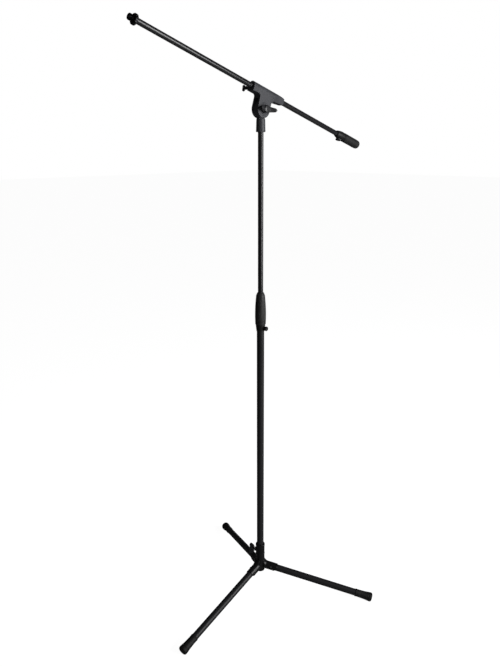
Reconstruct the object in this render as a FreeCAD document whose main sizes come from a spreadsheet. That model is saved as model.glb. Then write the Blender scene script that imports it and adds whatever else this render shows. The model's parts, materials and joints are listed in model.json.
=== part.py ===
"""Boom microphone stand: folding tripod, two stage post, tilting boom with a counterweight.

Millimetres. The origin is on the floor, on the axis of the post, and +Z is up. The boom lies in the
XZ plane with its microphone end towards +X, so the knob side of the boom clamp faces +Y.
"""
import FreeCAD, Part
import math
import os
import re
import Sketcher
from FreeCAD import Placement, Rotation, Vector

# ---------------------------------------------------------------------------------------------
# Driving dimensions: name, value, meaning
# ---------------------------------------------------------------------------------------------
SIZES = [
    ("clearance", 0.3, "gap between faces that pass each other"),
    ("running_gap", 0.08, "radial gap of a shaft in its bore"),
    # Legs: slope, pivot and foot
    ("leg_slope", 13.9, "fall of an opened leg, degrees"),
    ("leg_fold", 76.1, "turn from opened to hanging beside the post, degrees"),
    ("leg_turn", 6.6, "heading of leg 1 from the plane of the boom, degrees"),
    ("foot_circle", 387, "post axis to the middle of a foot's end face"),
    ("pin_circle", 36, "post axis to a leg pin"),
    ("pin_radius", 3, "leg pin"),
    ("pin_head_radius", 5, "head of a leg pin"),
    ("pin_head_thick", 1.8, "head of a leg pin"),
    ("leg_radius", 11.25, "leg tube"),
    ("leg_wall", 1.2, "leg tube wall"),
    ("knuckle_radius", 11.1, "knuckle, round about the leg's axis, with a ball at its pin"),
    ("knuckle_width", 17, "knuckle between the flats at its pin"),
    ("tube_start", 17, "pin to the end of the leg tube"),
    ("spigot_end", 62, "pin to the end of the knuckle's spigot"),
    ("washer_radius", 5.5, "nylon washer beside a knuckle"),
    ("washer_thick", 2.8, "nylon washer beside a knuckle"),
    ("foot_length", 58, "rubber foot"),
    ("foot_sleeve_radius", 12.4, "rubber foot where it grips the tube"),
    ("foot_end_radius", 15, "rubber foot at its flared end"),
    ("foot_round", 2.5, "rounding of the rubber foot's rim"),
    ("foot_flat", 0.7, "depth of the flat that rests on the floor"),
    ("foot_pad", 17, "solid rubber beyond the end of the tube"),
    # Base hub
    ("hub_top", 188, "top of the collar above the floor"),
    ("hub_low", 82.5, "underside of the hub above the floor"),
    ("collar_radius", 15, "collar round the post"),
    ("skirt_radius", 16, "lower barrel of the hub"),
    ("skirt_top", 121, "where the barrel narrows to the collar"),
    ("arm_radius", 13.6, "arched roof of an arm about the leg axis"),
    ("arm_start", 27, "post axis to the start of an arm's straight roof"),
    ("arm_reach", 22.7, "pin to the end of an arm"),
    ("arm_flare", 18, "radius of the flare from collar to arm"),
    ("flare_top", 137, "top of the flare above the floor"),
    ("arm_under", 7, "underside of a cheek below the leg axis"),
    ("slot_radius", 11.55, "hollow of an arm about the leg axis"),
    ("pin_boss_radius", 5.8, "boss under the head of a leg pin"),
    # Base wing screw
    ("base_screw_height", 163.6, "axis above the floor"),
    ("base_screw_radius", 3, "M6 stud"),
    ("base_boss_end", 18.5, "post axis to the face of the boss"),
    ("base_boss_radius", 7.5, "boss on the collar"),
    ("base_wing_length", 38, "wing, tip to tip"),
    ("base_wing_start", 20, "post axis to the near edge of the wing"),
    ("base_wing_end", 38, "post axis to the far edge of the wing"),
    ("base_wing_thick", 6, "wing"),
    # Post
    ("post_radius", 11.5, "lower tube"),
    ("post_wall", 1.2, "lower tube wall"),
    ("post_low", 88, "lower end of the lower tube"),
    ("post_top", 1000, "upper end of the lower tube, inside the clutch"),
    ("mast_radius", 8, "upper tube"),
    ("mast_wall", 1.2, "upper tube wall"),
    ("mast_low", 765, "lower end of the upper tube"),
    ("mast_top", 1545, "upper end of the upper tube"),
    ("mast_bush_length", 30, "guide bush of the upper tube"),
    # Height clutch
    ("clutch_low", 953, "lower edge of the clutch housing"),
    ("grip_low", 975, "lower edge of the twist grip"),
    ("grip_top", 1075, "upper edge of the twist grip"),
    ("grip_low_radius", 16.2, "twist grip at its lower edge"),
    ("grip_shoulder_radius", 13.5, "twist grip at its shoulder"),
    ("grip_shoulder", 1066, "height of the shoulder"),
    ("grip_barrel", 560, "radius of the barrel curve"),
    ("boss_radius", 12.8, "threaded boss inside the grip"),
    ("boss_top", 1010, "top of the threaded boss"),
    ("collet_low", 1012, "split collet, lower end"),
    ("collet_top", 1046, "split collet, upper end"),
    ("clutch_screw_height", 963, "axis of the thumb screw"),
    ("clutch_screw_turn", 100, "heading of the thumb screw, degrees"),
    ("clutch_screw_radius", 2.5, "M5 stud"),
    ("clutch_boss_end", 16.5, "post axis to the face of the thumb screw's boss"),
    ("clutch_knob_radius", 7, "thumb knob"),
    ("clutch_knob_start", 17.5, "post axis to the near face of the thumb knob"),
    ("clutch_knob_end", 26, "post axis to the far face of the thumb knob"),
    # Head: socket on the mast and knuckle that the boom clamp straddles
    ("head_low", 1540, "lower edge of the socket"),
    ("head_collar_top", 1575.5, "upper edge of the socket's collar"),
    ("head_radius", 13.4, "collar of the socket at its lower edge"),
    ("head_stud_radius", 5, "threaded stud on the mast"),
    ("pivot_height", 1601, "tilt axis above the floor"),
    ("knuckle_disc", 22, "disc of the head's knuckle"),
    ("disc_half", 6, "half the thickness of the disc"),
    ("friction_thick", 0.8, "friction washer beside the disc"),
    ("bolt_radius", 4, "pivot bolt"),
    # Boom clamp, in the boom's own frame: x along the boom, z square to it
    ("boom_tilt", 17.7, "rise of the boom towards its microphone end, degrees"),
    ("boom_above_pivot", 46.2, "boom axis to tilt axis"),
    ("clamp_front", 53, "front face of the sleeve"),
    ("clamp_tail", 75, "tip of the tail behind the tilt axis"),
    ("tail_slope", 28, "length of the tail that slopes down to its tip"),
    ("clamp_top", 13.5, "top of the sleeve above the boom axis"),
    ("sleeve_under", 13, "underside of the sleeve below the boom axis"),
    ("clamp_half", 13, "half the clamp's width"),
    ("tail_half", 8.6, "half the tail's height and width"),
    ("tail_under", 14, "underside of the tail's root below the boom axis"),
    ("cheek_radius", 23.8, "cheek round the tilt axis"),
    ("slot_top", 22.8, "top of the slot between the cheeks below the boom axis"),
    ("lock_place", 41, "boom lock screw, along the boom"),
    ("lock_radius", 3, "M6 stud of the boom lock screw"),
    ("lock_boss_radius", 8, "boss for the boom lock screw"),
    ("lock_boss_end", 21.5, "boom axis to the face of the boss"),
    ("lock_bar_start", 38.5, "boom axis to the near face of the tee bar"),
    ("lock_bar_end", 46.5, "boom axis to the far face of the tee bar"),
    ("lock_bar_length", 18, "tee bar"),
    ("lock_bar_width", 7, "tee bar"),
    ("wing_reach", 31, "pivot knob, axis to a wing tip"),
    ("wing_root", 8, "axis to the root of a wing"),
    ("wing_tip", 5, "radius of a wing tip"),
    ("wing_hub", 11, "hub of the pivot knob"),
    ("wing_low", 17, "near face of the wings at their root, from the middle of the clamp"),
    ("wing_high", 38, "far face of the wings at their tips"),
    ("wing_thick", 7, "wing, along the bolt"),
    ("wing_cap", 28, "far face of the hub"),
    ("wing_turn", 10, "rest angle of the wings from the boom, degrees"),
    # Boom
    ("boom_radius", 7.25, "boom tube"),
    ("boom_wall", 1, "boom tube wall"),
    ("boom_front", 439, "tilt axis to the microphone end of the tube"),
    ("boom_back", 455, "tilt axis to the tail end of the tube"),
    ("thread_radius", 4.76, "3/8 inch stud"),
    ("stud_end", 458, "tilt axis to the tip of the stud"),
    ("ring_radius", 13.5, "lock ring"),
    ("ring_thick", 8, "lock ring"),
    ("ring_scallops", 12, "finger scallops round the lock ring"),
    ("adapter_radius", 7.94, "5/8 inch thread of the adapter"),
    ("adapter_start", 448.8, "near face of the thread adapter"),
    ("adapter_length", 12, "thread adapter"),
    # Counterweight
    ("weight_front", 344, "tilt axis to the near face of the counterweight"),
    ("weight_back", 464, "tilt axis to the far end of the counterweight"),
    ("weight_core_radius", 12.4, "steel core"),
    ("weight_radius", 14, "jacket"),
    ("weight_collar_radius", 13.4, "tapered collar at its wide end"),
    ("weight_collar_length", 38, "tapered collar"),
    ("weight_screw_place", 361, "tilt axis to the counterweight's thumb screw"),
    ("weight_flat", 11.8, "boom axis to the flat under the thumb screw's head"),
    ("weight_knob_radius", 9.3, "head of the thumb screw"),
    ("weight_knob_end", 17.3, "boom axis to the far face of the head"),
    ("weight_screw_radius", 2.5, "M5 thumb screw"),
]

doc = FreeCAD.newDocument("boom_microphone_stand")
sheet = doc.addObject("Spreadsheet::Sheet", "sizes")
for row, (alias, value, meaning) in enumerate(SIZES, start=1):
    sheet.set(f"A{row}", alias)
    sheet.set(f"B{row}", str(value))
    sheet.setAlias(f"B{row}", alias)
    sheet.set(f"C{row}", meaning)
doc.recompute()
ALIASES = {alias for alias, value, meaning in SIZES}

nodes = []


# ---------------------------------------------------------------------------------------------
# Expressions and frames
# ---------------------------------------------------------------------------------------------
def bound(text):
    """Write an expression's size names as the cells of the sheet."""
    return re.sub(
        r"[a-z_]+", lambda word: f"sizes.{word[0]}" if word[0] in ALIASES else word[0], str(text)
    )


def size(text):
    """Value of an expression of sizes."""
    return float(sheet.evalExpression(bound(text)))


def spot(*coordinates):
    return Vector(*[size(c) for c in coordinates])


def turn(axis, angle):
    return Placement(Vector(), Rotation(axis, angle))


def move(*coordinates):
    return Placement(spot(*coordinates), Rotation())


X_AXIS = Vector(1, 0, 0)
Y_AXIS = Vector(0, 1, 0)
Z_AXIS = Vector(0, 0, 1)
ALONG_X = turn(Y_AXIS, 90)
ALONG_Y = turn(X_AXIS, -90)
AGAINST_X = turn(Y_AXIS, -90)
AGAINST_Y = turn(X_AXIS, 90)
WORLD = Placement()


def node(thing, name, frame=WORLD):
    """Name a finished sub-part and put it in its place."""
    thing.Label = name
    thing.Placement = frame
    nodes.append(thing)
    return thing


# ---------------------------------------------------------------------------------------------
# Sketches and features
# ---------------------------------------------------------------------------------------------
def new_body(name):
    return doc.addObject("PartDesign::Body", name + "_body")


def new_sketch(body, plane):
    sketch = body.newObject("Sketcher::SketchObject", "outline")
    for feature in body.Origin.OriginFeatures:
        if feature.Role == plane:
            sketch.AttachmentSupport = [(feature, "")]
    sketch.MapMode = "FlatFace"
    return sketch


def bind_constraint(sketch, constraint, text):
    number = sketch.addConstraint(constraint)
    sketch.setExpression(f"Constraints[{number}]", bound(text))


def pin_point(sketch, edge, end, corner):
    """Hold one end of an edge at the corner's two expressions."""
    for kind, text in zip(("DistanceX", "DistanceY"), corner):
        constraint = Sketcher.Constraint(kind, -1, 1, edge, end, size(text))
        bind_constraint(sketch, constraint, text)


def arc_between(start, end, radius, left):
    """Arc of under half a turn; left says that it turns left on its way from start to end."""
    chord = end - start
    side = Vector(-chord.y, chord.x, 0).normalize() * (1 if left else -1)
    rise = math.sqrt(max(radius**2 - chord.Length**2 / 4, 0))
    centre = (start + end) / 2 + side * rise
    first, last = (start, end) if left else (end, start)
    angles = [math.atan2(p.y - centre.y, p.x - centre.x) for p in (first, last)]
    circle = Part.Circle(centre, Z_AXIS, radius)
    return Part.ArcOfCircle(circle, angles[0], angles[1])


def draw_outline(sketch, corners, arcs=None):
    """Closed outline. arcs gives, for the edge that leaves a corner, (radius, turns left)."""
    arcs = arcs or {}
    points = [Vector(size(x), size(y), 0) for x, y in corners]
    ends = []
    for i, start in enumerate(points):
        end = points[(i + 1) % len(points)]
        if i in arcs:
            radius, left = arcs[i]
            edge = sketch.addGeometry(arc_between(start, end, size(radius), left))
            ends.append((edge, 1, 2) if left else (edge, 2, 1))
        else:
            edge = sketch.addGeometry(Part.LineSegment(start, end))
            ends.append((edge, 1, 2))
    for i, (edge, start, end) in enumerate(ends):
        after, after_start, after_end = ends[(i + 1) % len(ends)]
        sketch.addConstraint(Sketcher.Constraint("Coincident", edge, end, after, after_start))
        pin_point(sketch, edge, start, corners[i])
        if i in arcs:
            radius = arcs[i][0]
            bind_constraint(sketch, Sketcher.Constraint("Radius", edge, size(radius)), radius)


def draw_circle(sketch, centre, radius):
    middle = Vector(size(centre[0]), size(centre[1]), 0)
    edge = sketch.addGeometry(Part.Circle(middle, Z_AXIS, size(radius)))
    pin_point(sketch, edge, 3, centre)
    bind_constraint(sketch, Sketcher.Constraint("Radius", edge, size(radius)), radius)


def add_turned(body, corners, arcs=None):
    """Revolution about the body's Z axis, from corners of (radius, height)."""
    sketch = new_sketch(body, "XZ_Plane")
    draw_outline(sketch, corners, arcs)
    solid = body.newObject("PartDesign::Revolution", "turned")
    solid.Profile = sketch
    solid.ReferenceAxis = (sketch, ["V_Axis"])
    solid.Angle = 360


def turned(name, corners, arcs=None):
    """Body of revolution about its own Z axis."""
    body = new_body(name)
    add_turned(body, corners, arcs)
    return body


def turned_cut(body, corners, arcs=None):
    """Groove about the body's Z axis."""
    sketch = new_sketch(body, "XZ_Plane")
    draw_outline(sketch, corners, arcs)
    cut = body.newObject("PartDesign::Groove", "bore")
    cut.Profile = sketch
    cut.ReferenceAxis = (sketch, ["V_Axis"])
    cut.Angle = 360
    return cut


def slanted_cut(body, axis, corners, arcs=None, angle=360):
    """Groove about a line of the XZ plane, evenly to both sides of the plane."""
    sketch = new_sketch(body, "XZ_Plane")
    ends = [Vector(size(x), size(y), 0) for x, y in axis]
    line = sketch.addGeometry(Part.LineSegment(*ends), True)
    pin_point(sketch, line, 1, axis[0])
    pin_point(sketch, line, 2, axis[1])
    draw_outline(sketch, corners, arcs)
    cut = body.newObject("PartDesign::Groove", "slanted_cut")
    cut.Profile = sketch
    cut.ReferenceAxis = (sketch, ["Axis0"])
    cut.Midplane = True
    cut.Angle = angle
    return cut


def tube_body(name, outer, inner, low, high):
    return turned(name, [(inner, low), (outer, low), (outer, high), (inner, high)])


def rod_body(name, radius, low, high):
    return turned(name, [("0", low), (radius, low), (radius, high), ("0", high)])


def pad(body, plane, draw, length, both=True, back=False):
    """Pad of a sketch: length is the whole thickness when it goes both ways."""
    sketch = new_sketch(body, plane)
    draw(sketch)
    solid = body.newObject("PartDesign::Pad", "pad")
    solid.Profile = sketch
    solid.SideType = "Symmetric" if both else "One side"
    solid.Reversed = back
    solid.setExpression("Length", bound(length))
    return solid


def pocket(body, plane, draw, length=None, both=True, back=False):
    """Pocket of a sketch, right through when it has no length."""
    sketch = new_sketch(body, plane)
    draw(sketch)
    cut = body.newObject("PartDesign::Pocket", "pocket")
    cut.Profile = sketch
    cut.SideType = "Symmetric" if both else "One side"
    cut.Reversed = back
    if length is None:
        cut.Type = "ThroughAll"
    else:
        cut.setExpression("Length", bound(length))
    return cut


def repeat(body, feature, count):
    """Repeat a feature evenly round the body's Z axis."""
    pattern = body.newObject("PartDesign::PolarPattern", "pattern")
    pattern.Originals = [feature]
    for part in body.Origin.OriginFeatures:
        if part.Role == "Z_Axis":
            pattern.Axis = (part, [""])
    pattern.Angle = 360
    pattern.setExpression("Occurrences", bound(count))
    body.Tip = pattern
    return pattern


def outlined(corners, arcs=None):
    return lambda sketch: draw_outline(sketch, corners, arcs)


def circled(centre, radius):
    return lambda sketch: draw_circle(sketch, centre, radius)


def block(corners, arcs, width, name):
    """Body padded both ways from an outline in its XZ plane."""
    body = new_body(name)
    pad(body, "XZ_Plane", outlined(corners, arcs), width)
    return body


def copies(name, source, places):
    """One sub-part of several separate, identical solids."""
    group = doc.addObject("Part::Compound", name + "_group")
    links = []
    for place in places:
        link = doc.addObject("App::Link", name + "_copy")
        link.LinkedObject = source
        link.LinkTransform = False
        link.Placement = place
        links.append(link)
    group.Links = links
    return group


# ---------------------------------------------------------------------------------------------
# Frames of the assembly
# ---------------------------------------------------------------------------------------------
# The middle of a foot's end face above the floor: the rim's rounding is lowest, less the flat.
FOOT_RISE = (
    "((foot_end_radius - foot_round) * cos(leg_slope)"
    " + foot_round * (1 - sin(leg_slope)) - foot_flat)"
)
PIN_HEIGHT = f"({FOOT_RISE} + (foot_circle - pin_circle) * tan(leg_slope))"
LEG_LENGTH = "((foot_circle - pin_circle) / cos(leg_slope))"
LEG_COUNT = 3


def leg_frame(number):
    """At a leg's pin: x out along the leg, y along the pin, z up from the leg."""
    heading = size("leg_turn") + (number - 1) * 360 / LEG_COUNT
    slope = turn(Y_AXIS, size("leg_slope"))
    return turn(Z_AXIS, heading) * move("pin_circle", "0", PIN_HEIGHT) * slope


def along_leg(out, lift):
    """Corner in the hub's XZ plane, on its far side: out along a leg from the pin, and above it."""
    far = f"-(pin_circle + ({out}) * cos(leg_slope) + ({lift}) * sin(leg_slope))"
    return far, f"({PIN_HEIGHT} - ({out}) * sin(leg_slope) + ({lift}) * cos(leg_slope))"


# The hub's own x axis points at its wing screw, half way between legs 1 and 3.
HUB_FRAME = turn(Z_AXIS, size("leg_turn") - 180 / LEG_COUNT)
CLUTCH_SCREW_FRAME = turn(Z_AXIS, size("clutch_screw_turn"))
PIVOT_FRAME = move("0", "0", "pivot_height") * turn(Y_AXIS, -size("boom_tilt"))
# On the boom's axis, square above the tilt axis: x along the boom, z square to it.
BOOM_FRAME = PIVOT_FRAME * move("0", "0", "boom_above_pivot")


# ---------------------------------------------------------------------------------------------
# Base hub, with three roofed arms that hold the legs
# ---------------------------------------------------------------------------------------------
def above_leg(radius, lift):
    """Height, at a radius from the post, of a line parallel to a leg and lift above its axis."""
    return f"({PIN_HEIGHT} - ({radius} - pin_circle) * tan(leg_slope) + ({lift}) / cos(leg_slope))"


def make_hub():
    hub = new_body("base_hub")
    barrel = [
        ("post_radius - 1", "hub_low"),
        ("skirt_radius - 4", "hub_low"),
        ("skirt_radius", "hub_low + 4"),
        ("skirt_radius", "skirt_top - 6"),
        ("collar_radius", "skirt_top"),
        ("collar_radius", "hub_top - 1.5"),
        ("collar_radius - 1.5", "hub_top"),
        ("post_radius - 1", "hub_top"),
    ]
    add_turned(hub, barrel, {1: ("4", True)})
    # The first arm is drawn on the far side of the post from the wing screw.
    arm_root = "(post_radius + 2)"
    arm_outline = [
        (f"-{arm_root}", "flare_top"),
        ("-(collar_radius + 1)", "flare_top"),
        along_leg("arm_reach", "arm_radius + 4"),
        along_leg("arm_reach", "-1"),
        along_leg("arm_reach - 8", "-arm_under"),
        (f"-{arm_root}", above_leg(arm_root, "-arm_under")),
    ]
    arm = pad(hub, "XZ_Plane", outlined(arm_outline), "2 * arm_radius")
    repeat(hub, arm, LEG_COUNT)
    # Round the roofs about the legs' axes, with a flare up to the collar.
    flare = {0: ("arm_flare", False)}
    over = [
        ("-(collar_radius - 1)", "flare_top + 1"),
        ("-arm_start", above_leg("arm_start", "arm_radius")),
        along_leg("arm_reach + 10", "arm_radius"),
        along_leg("arm_reach + 10", "arm_radius + 30"),
        ("-(collar_radius - 1)", "flare_top + 30"),
    ]
    leg_axis = [along_leg("0", "0"), along_leg("arm_reach", "0")]
    arch = slanted_cut(hub, leg_axis, over, flare, 180)
    repeat(hub, arch, LEG_COUNT)
    # Trim the arms' roots to a bell round the collar, and fill the collar up again.
    bell = [
        ("collar_radius - 1", "flare_top + 1"),
        ("arm_start", above_leg("arm_start", "arm_radius")),
        ("arm_start + 60", above_leg("arm_start", "arm_radius")),
        ("arm_start + 60", "flare_top + 30"),
        ("collar_radius - 1", "flare_top + 30"),
    ]
    turned_cut(hub, bell, {0: ("arm_flare", True)})
    add_turned(hub, barrel, {1: ("4", True)})
    pin_place = ("-pin_circle", PIN_HEIGHT)
    pin_boss = pad(hub, "XZ_Plane", circled(pin_place, "pin_boss_radius"), "2 * arm_radius")
    repeat(hub, pin_boss, LEG_COUNT)
    # Hollow for the leg: a ball at the pin, a bore along the leg, and a slot below them.
    bore = [
        along_leg("-slot_radius", "0"),
        along_leg("0", "slot_radius"),
        along_leg("arm_reach + 5", "slot_radius"),
        along_leg("arm_reach + 5", "0"),
    ]
    hollow = slanted_cut(hub, leg_axis, bore, {0: ("slot_radius", True)})
    repeat(hub, hollow, LEG_COUNT)
    slot_start = "-(pin_circle - slot_radius)"
    slot_outline = [
        (slot_start, PIN_HEIGHT),
        pin_place,
        along_leg("arm_reach + 5", "0"),
        ("-(arm_start + 60)", "hub_low - 20"),
        (slot_start, "hub_low - 20"),
    ]
    slot = pocket(hub, "XZ_Plane", outlined(slot_outline), "2 * slot_radius")
    repeat(hub, slot, LEG_COUNT)
    washer_seat = circled(pin_place, "washer_radius + clearance")
    repeat(hub, pocket(hub, "XZ_Plane", washer_seat, "2 * slot_radius"), LEG_COUNT)
    repeat(hub, pocket(hub, "XZ_Plane", circled(pin_place, "pin_radius")), LEG_COUNT)
    boss = circled(("0", "base_screw_height"), "base_boss_radius")
    pad(hub, "YZ_Plane", boss, "base_boss_end", both=False)
    insert_hole = circled(("0", "base_screw_height"), "base_screw_radius + 1.6")
    pocket(hub, "YZ_Plane", insert_hole, both=False, back=True)
    sliding = "post_radius + running_gap"
    turned_cut(
        hub,
        [
            ("0", "hub_low - 5"),
            (sliding, "hub_low - 5"),
            (sliding, "hub_top + 5"),
            ("0", "hub_top + 5"),
        ],
    )
    node(hub, "base_hub", HUB_FRAME)


def make_leg_pins():
    """Three headed pins across the arms, and two washers beside each knuckle."""
    half = "arm_radius"
    pin = turned(
        "leg_pivot_pin",
        [
            ("0", f"-{half} - pin_head_thick"),
            ("pin_head_radius - 1", f"-{half} - pin_head_thick"),
            ("pin_head_radius", f"-{half}"),
            ("pin_radius", f"-{half}"),
            ("pin_radius", half),
            ("pin_head_radius", half),
            ("pin_head_radius - 1", f"{half} + pin_head_thick"),
            ("0", f"{half} + pin_head_thick"),
        ],
    )
    washer = tube_body(
        "leg_pivot_washer", "washer_radius", "pin_radius + running_gap", "0", "washer_thick"
    )
    pins = []
    washers = []
    for number in range(1, LEG_COUNT + 1):
        pins.append(leg_frame(number) * ALONG_Y)
        washers.append(leg_frame(number) * move("0", "knuckle_width / 2 + 0.1", "0") * ALONG_Y)
        washers.append(leg_frame(number) * move("0", "-knuckle_width / 2 - 0.1", "0") * AGAINST_Y)
    node(copies("leg_pivot_pins", pin, pins), "leg_pivot_pins")
    node(copies("leg_pivot_washers", washer, washers), "leg_pivot_washers")


def make_base_screw():
    """Insert in the hub's boss, and the wing screw that clamps the hub on the post."""
    insert = tube_body(
        "base_screw_insert",
        "base_screw_radius + 1.55",
        "base_screw_radius + running_gap",
        "collar_radius - 1",
        "base_boss_end",
    )
    height = move("0", "0", "base_screw_height")
    node(insert, "base_screw_insert", HUB_FRAME * height * ALONG_X)
    stud = rod_body(
        "base_wing_stud", "base_screw_radius", "post_radius + 1.3", "base_wing_start + 8"
    )
    node(stud, "base_wing_stud", HUB_FRAME * height * ALONG_X)
    tip = rod_body(
        "base_wing_tip", "base_screw_radius - 0.4", "post_radius + clearance", "post_radius + 1.3"
    )
    node(tip, "base_wing_tip", HUB_FRAME * height * ALONG_X)
    half = "base_wing_length / 2"
    wing = block(
        [
            ("base_wing_start", "-7"),
            ("base_wing_start + 3", f"-{half} + 6"),
            ("base_wing_end - 6.5", f"-{half}"),
            ("base_wing_end", f"-{half} + 6.5"),
            ("base_wing_end - 3", "0"),
            ("base_wing_end", f"{half} - 6.5"),
            ("base_wing_end - 6.5", half),
            ("base_wing_start + 3", f"{half} - 6"),
            ("base_wing_start", "7"),
        ],
        {2: ("6.5", True), 5: ("6.5", True)},
        "base_wing_thick",
        "base_wing_knob",
    )
    hub = circled(("0", "0"), "6")
    pad(wing, "YZ_Plane", hub, "base_wing_end - 4", both=False)
    pocket(wing, "YZ_Plane", circled(("0", "0"), "7"), "base_boss_end + 1.5", both=False, back=True)
    stud_hole = circled(("0", "0"), "base_screw_radius")
    pocket(wing, "YZ_Plane", stud_hole, "base_wing_start + 8", both=False, back=True)
    node(wing, "base_wing_knob", HUB_FRAME * height * turn(X_AXIS, 12))


# ---------------------------------------------------------------------------------------------
# Legs
# ---------------------------------------------------------------------------------------------
def make_leg(number):
    frame = leg_frame(number)
    inner = "(leg_radius - leg_wall)"
    knuckle = turned(
        "leg_knuckle",
        [
            ("0", "-knuckle_radius"),
            ("knuckle_radius", "0"),
            ("knuckle_radius", "tube_start - clearance"),
            (f"{inner} - 0.05", "tube_start - clearance"),
            (f"{inner} - 0.05", "spigot_end"),
            ("0", "spigot_end"),
        ],
        {0: ("knuckle_radius", True)},
    )
    for side in ("", "-"):
        flat = [
            (f"{side}knuckle_width / 2", "-knuckle_radius - 1"),
            (f"{side}(knuckle_radius + 1)", "-knuckle_radius - 1"),
            (f"{side}(knuckle_radius + 1)", "9"),
            (f"{side}knuckle_width / 2", "9"),
        ]
        pocket(knuckle, "YZ_Plane", outlined(flat))
    pocket(knuckle, "XZ_Plane", circled(("0", "0"), "pin_radius + running_gap"))
    node(knuckle, f"leg_{number}_knuckle", frame * ALONG_X)

    tube_end = f"({LEG_LENGTH} - foot_pad)"
    tube = tube_body("leg_tube", "leg_radius", inner, "tube_start", tube_end)
    node(tube, f"leg_{number}_tube", frame * ALONG_X)

    foot_start = f"({LEG_LENGTH} - foot_length)"
    rubber = turned(
        "leg_foot",
        [
            ("leg_radius + 0.02", foot_start),
            ("foot_sleeve_radius - 0.7", foot_start),
            ("foot_sleeve_radius", f"{foot_start} + 1.5"),
            ("foot_sleeve_radius", f"{foot_start} + 16"),
            ("foot_sleeve_radius + 0.8", f"{foot_start} + 34"),
            ("foot_end_radius", f"{LEG_LENGTH} - 6"),
            ("foot_end_radius", f"{LEG_LENGTH} - foot_round"),
            ("foot_end_radius - foot_round", LEG_LENGTH),
            ("0", LEG_LENGTH),
            ("0", f"{tube_end} + 0.1"),
            ("leg_radius + 0.02", f"{tube_end} + 0.1"),
        ],
        {6: ("foot_round", True)},
    )
    node(rest_on_floor(rubber, frame, number), f"leg_{number}_foot", frame * ALONG_X)


def rest_on_floor(rubber, frame, number):
    """Cut away what would reach below the floor, which leaves a flat to stand on."""
    floor = doc.addObject("Part::Box", f"floor_{number}")
    floor.Length = 60
    floor.Width = 60
    floor.Height = 20
    foot = frame.multVec(spot(LEG_LENGTH, "0", "0"))
    floor.Placement = (frame * ALONG_X).inverse() * Placement(
        Vector(foot.x - 30, foot.y - 30, -20), Rotation()
    )
    cut = doc.addObject("Part::Cut", f"foot_{number}")
    cut.Base = rubber
    cut.Tool = floor
    return cut


# ---------------------------------------------------------------------------------------------
# Lower post with the fixed half of the height clutch
# ---------------------------------------------------------------------------------------------
def make_lower_post():
    inner = "(post_radius - post_wall)"
    tube = tube_body("lower_tube", "post_radius", inner, "post_low", "post_top")
    node(tube, "lower_tube")
    plug = turned(
        "lower_tube_plug",
        [
            ("0", "post_low - 9"),
            ("post_radius - 6", "post_low - 9"),
            ("post_radius - 0.3", "post_low - 3"),
            ("post_radius - 0.3", "post_low"),
            (f"{inner} - 0.05", "post_low"),
            (f"{inner} - 0.05", "post_low + 22"),
            ("0", "post_low + 22"),
        ],
        {1: ("8", True)},
    )
    node(plug, "lower_tube_plug")

    skirt = "post_radius + 1"
    housing = turned(
        "clutch_housing",
        [
            ("mast_radius - 1", "clutch_low"),
            (skirt, "clutch_low"),
            ("grip_low_radius - 1.3", "grip_low - 3"),
            ("grip_low_radius - 1.3", "grip_low - 0.5"),
            ("boss_radius", "grip_low - 0.5"),
            ("boss_radius", "boss_top"),
            ("mast_radius - 1", "boss_top"),
        ],
    )
    boss = circled(("0", "clutch_screw_height"), "clutch_screw_radius + 3.5")
    pad(housing, "YZ_Plane", boss, "clutch_boss_end", both=False)
    thread = circled(("0", "clutch_screw_height"), "clutch_screw_radius + running_gap")
    pocket(housing, "YZ_Plane", thread, both=False, back=True)
    seat = "post_radius + 0.05"
    throat = "mast_radius + 0.4"
    turned_cut(
        housing,
        [
            ("0", "clutch_low - 5"),
            (seat, "clutch_low - 5"),
            (seat, "post_top + 0.5"),
            (throat, "post_top + 0.5"),
            (throat, "boss_top + 5"),
            ("0", "boss_top + 5"),
        ],
    )
    node(housing, "clutch_housing", CLUTCH_SCREW_FRAME)

    jaw = "mast_radius + running_gap"
    collet = turned(
        "clutch_collet",
        [
            (jaw, "collet_low"),
            ("boss_radius - 1", "collet_low"),
            ("boss_radius - 0.4", "collet_low + 18"),
            ("mast_radius + 1.6", "collet_top"),
            (jaw, "collet_top"),
        ],
    )
    slit = pocket(
        collet,
        "XZ_Plane",
        outlined(
            [
                ("2", "collet_low + 6"),
                ("20", "collet_low + 6"),
                ("20", "collet_top + 2"),
                ("2", "collet_top + 2"),
            ]
        ),
        "1.5",
    )
    repeat(collet, slit, 4)
    node(collet, "clutch_collet")


def make_clutch_screw():
    height = move("0", "0", "clutch_screw_height")
    stud = rod_body(
        "clutch_screw_stud", "clutch_screw_radius", "post_radius + clearance", "clutch_knob_end - 3"
    )
    node(stud, "clutch_screw_stud", CLUTCH_SCREW_FRAME * height * ALONG_X)
    knob = turned(
        "clutch_screw_knob",
        [
            ("clutch_screw_radius", "clutch_knob_start"),
            ("clutch_knob_radius - 1.5", "clutch_knob_start"),
            ("clutch_knob_radius", "clutch_knob_start + 1.5"),
            ("clutch_knob_radius", "clutch_knob_end - 3"),
            ("clutch_knob_radius - 3", "clutch_knob_end"),
            ("0", "clutch_knob_end"),
            ("0", "clutch_knob_end - 3"),
            ("clutch_screw_radius", "clutch_knob_end - 3"),
        ],
        {3: ("3", True)},
    )
    node(knob, "clutch_screw_knob", CLUTCH_SCREW_FRAME * height * ALONG_X)


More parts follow.
